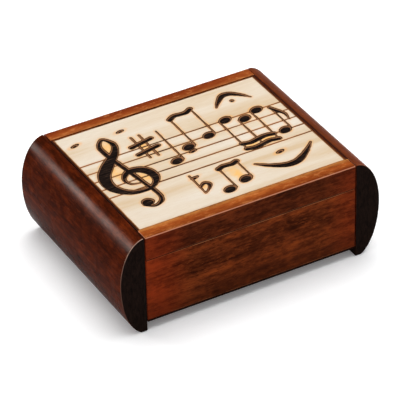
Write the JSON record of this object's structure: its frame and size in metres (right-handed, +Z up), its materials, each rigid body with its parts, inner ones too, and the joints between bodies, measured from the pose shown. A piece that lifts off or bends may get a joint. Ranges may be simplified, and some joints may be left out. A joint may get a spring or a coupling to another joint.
{
  "type": "puzzle music box",
  "caption": "Wooden music box with rounded sliding end pieces that hide a key and keyhole, a hinged inlaid lid and a pinned-cylinder movement.",
  "frame": {"origin": "on the surface the box stands on, under the middle of the box", "axes": "+X along the front to the right, -Y towards the front, +Z up"},
  "size_m": [0.16, 0.1156, 0.06],
  "materials": {
    "walnut_ends": "satin dark walnut stain with a soft sheen",
    "mahogany_case": "satin red-brown mahogany stain with grain along the box",
    "pale_inlay": "pale linden board with burnt, shallow carved music signs",
    "inner_wood": "plain unstained wood",
    "felt": "short wine-red felt",
    "clear_window": "clear acrylic sheet",
    "brass": "polished brass",
    "steel": "bright steel",
    "cast_bedplate": "cast zinc, plated"
  },
  "bodies": {
    "case": {"front_panel": "mahogany_case", "back_panel": "mahogany_case", "left_wall": "mahogany_case", "right_wall": "mahogany_case", "bottom_board": "mahogany_case", "movement_board": "inner_wood", "board_supports": "inner_wood", "window_battens": "inner_wood", "long_divider": "inner_wood", "short_divider": "inner_wood", "movement_window": "clear_window", "keepsake_felt": "felt", "ring_felt": "felt", "left_runner": "inner_wood", "right_runner": "inner_wood", "runner_screws": "steel", "hinge_lower_leaves": "brass", "hinge_pins": "brass", "hinge_lower_screws": "brass", "keyhole_plate": "brass", "lock_back_plate": "brass", "lock_cover": "brass", "lock_screws": "brass", "hidden_key": "brass", "movement_screws": "steel", "movement_bedplate": "cast_bedplate", "barrel_bridge": "brass", "comb": "steel", "comb_screws": "steel", "governor_frame": "brass"},
    "lid": {"lid_front_rail": "mahogany_case", "lid_back_rail": "mahogany_case", "lid_left_rail": "mahogany_case", "lid_right_rail": "mahogany_case", "lid_panel": "pale_inlay", "lid_lining": "felt", "hinge_upper_leaves": "brass", "hinge_upper_screws": "brass", "strike_staple": "brass", "strike_screws": "brass", "stop_pad": "inner_wood"},
    "left_end": {"left_end_piece": "walnut_ends", "left_end_plug": "walnut_ends"},
    "right_end": {"right_end_piece": "walnut_ends", "right_end_plug": "walnut_ends"},
    "bolt": {"lock_bolt": "brass"},
    "barrel": {"spring_barrel": "brass", "mainspring": "steel"},
    "cylinder": {"pinned_cylinder": "brass", "cylinder_shaft": "steel", "drive_pinion": "brass", "cylinder_wheel": "brass"},
    "governor": {"governor_pinion": "brass", "worm_wheel": "brass"},
    "fly": {"worm": "steel", "fly": "brass"},
    "winder": {"winding_arbor": "steel", "winding_key": "steel"},
    "stop": {"stop_rod": "steel"}
  },
  "joints": [
    {"name": "lid_hinge", "type": "hinge", "parent": "case", "child": "lid", "pos_m": [0, 0.0553, 0.0453], "axis": [-1, 0, 0], "range_deg": [0, 95]},
    {"name": "left_end_slide", "type": "slide", "parent": "case", "child": "left_end", "axis": [0, -1, 0], "range_m": [0, 0.024]},
    {"name": "right_end_slide", "type": "slide", "parent": "case", "child": "right_end", "axis": [0, 1, 0], "range_m": [0, 0.024]},
    {"name": "bolt_slide", "type": "slide", "parent": "case", "child": "bolt", "axis": [0, 1, 0], "range_m": [0, 0.004]},
    {"name": "barrel_spin", "type": "hinge", "parent": "case", "child": "barrel", "pos_m": [-0.04335, 0.0328, 0.017], "axis": [0, 0, 1], "continuous": true},
    {"name": "cylinder_spin", "type": "hinge", "parent": "case", "child": "cylinder", "pos_m": [-0.02965, 0.0328, 0.034], "axis": [1, 0, 0], "continuous": true},
    {"name": "governor_spin", "type": "hinge", "parent": "case", "child": "governor", "pos_m": [-0.00555, 0.02579, 0.02812], "axis": [1, 0, 0], "continuous": true},
    {"name": "fly_spin", "type": "hinge", "parent": "case", "child": "fly", "pos_m": [-0.00555, 0.02029, 0.02812], "axis": [0, 0, 1], "continuous": true},
    {"name": "winding_turn", "type": "hinge", "parent": "case", "child": "winder", "pos_m": [-0.04335, 0.0328, 0.012], "axis": [0, 0, 1], "continuous": true},
    {"name": "stop_slide", "type": "slide", "parent": "case", "child": "stop", "axis": [0, 0, 1], "range_m": [0, 0.003]}
  ],
  "couplings": [
    {"joint": "cylinder_spin", "follows": "barrel_spin", "ratio": 3},
    {"joint": "governor_spin", "follows": "barrel_spin", "ratio": -10.5},
    {"joint": "fly_spin", "follows": "barrel_spin", "ratio": -84},
    {"joint": "stop_slide", "follows": "lid_hinge", "m_per_rad": 0.0018075}
  ]
}
